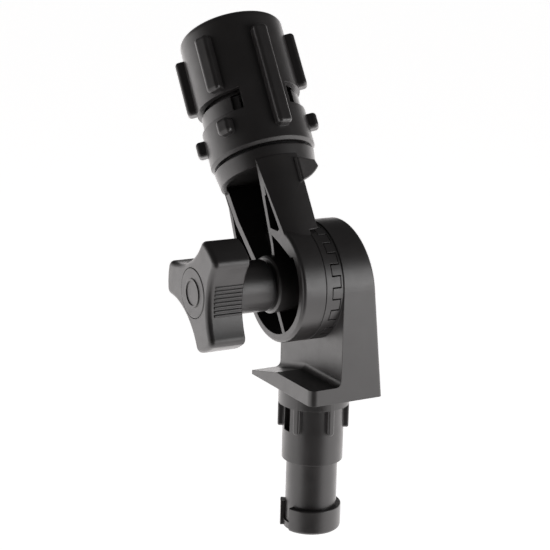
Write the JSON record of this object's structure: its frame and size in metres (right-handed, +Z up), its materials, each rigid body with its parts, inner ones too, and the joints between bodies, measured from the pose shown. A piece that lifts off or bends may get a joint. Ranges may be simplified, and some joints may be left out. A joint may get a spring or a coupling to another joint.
{
  "type": "rod holder mount",
  "caption": "Tilting rod-holder mount: swivelling socket head with squeeze buttons on a ratchet arm, locked by a three-lobed knob to a bracket with a splined post.",
  "frame": {"origin": "on the post's axis, at the step where the lower tube begins", "axes": "+Z up along the post's axis; the tilt axis runs along X with the knob on the -X side; the arm leans towards +Y at rest"},
  "size_m": [0.0775, 0.1064, 0.2193],
  "materials": {
    "black_nylon": "satin moulded glass-filled nylon with a fine texture",
    "cap_nylon": "satin moulded cap",
    "stainless": "stainless steel, plain",
    "bushing": "dark acetal, smooth",
    "rubber": "black friction washer",
    "brass": "plain brass nut"
  },
  "bodies": {
    "bracket": {"bracket_body": "black_nylon", "ratchet_ring": "black_nylon", "post_latch_ring": "black_nylon", "clamp_bolt": "stainless", "release_spring": "stainless"},
    "clamp_slide": {"pivot_sleeve": "bushing", "thrust_washer": "bushing"},
    "arm": {"arm_shell": "black_nylon", "swivel_friction_washer": "rubber", "swivel_washer": "stainless", "swivel_screw": "stainless"},
    "head": {"head_sleeve": "black_nylon", "socket_liner": "black_nylon"},
    "button_left": {"release_button_left": "black_nylon"},
    "button_right": {"release_button_right": "black_nylon"},
    "knob": {"knob_grip": "black_nylon", "knob_nut": "brass", "knob_cap": "cap_nylon"}
  },
  "joints": [
    {"name": "knob_turn", "type": "hinge", "parent": "clamp_slide", "child": "knob", "pos_m": [0, 0, 0.079], "axis": [-1, 0, 0], "range_deg": [0, 633.6]},
    {"name": "clamp_travel", "type": "slide", "parent": "bracket", "child": "clamp_slide", "axis": [-1, 0, 0], "range_m": [0, 0.0022], "deforming": ["release_spring"]},
    {"name": "arm_tilt", "type": "hinge", "parent": "clamp_slide", "child": "arm", "pos_m": [0, 0, 0.079], "axis": [-1, 0, 0], "range_deg": [-123, 57]},
    {"name": "head_swivel", "type": "hinge", "parent": "arm", "child": "head", "pos_m": [-0.01045, 0, 0.079], "axis": [0, 0.5446, 0.8387], "continuous": true},
    {"name": "button_left_press", "type": "slide", "parent": "head", "child": "button_left", "axis": [0.988, -0.1298, 0.0843], "range_m": [0, 0.0015], "stiffness_N_per_m": 800, "springref_m": -0.001},
    {"name": "button_right_press", "type": "slide", "parent": "head", "child": "button_right", "axis": [-0.988, 0.1298, -0.0843], "range_m": [0, 0.0015], "stiffness_N_per_m": 800, "springref_m": -0.001}
  ],
  "couplings": [
    {"joint": "knob_turn", "follows": "clamp_travel", "rad_per_m": 5026.5}
  ]
}
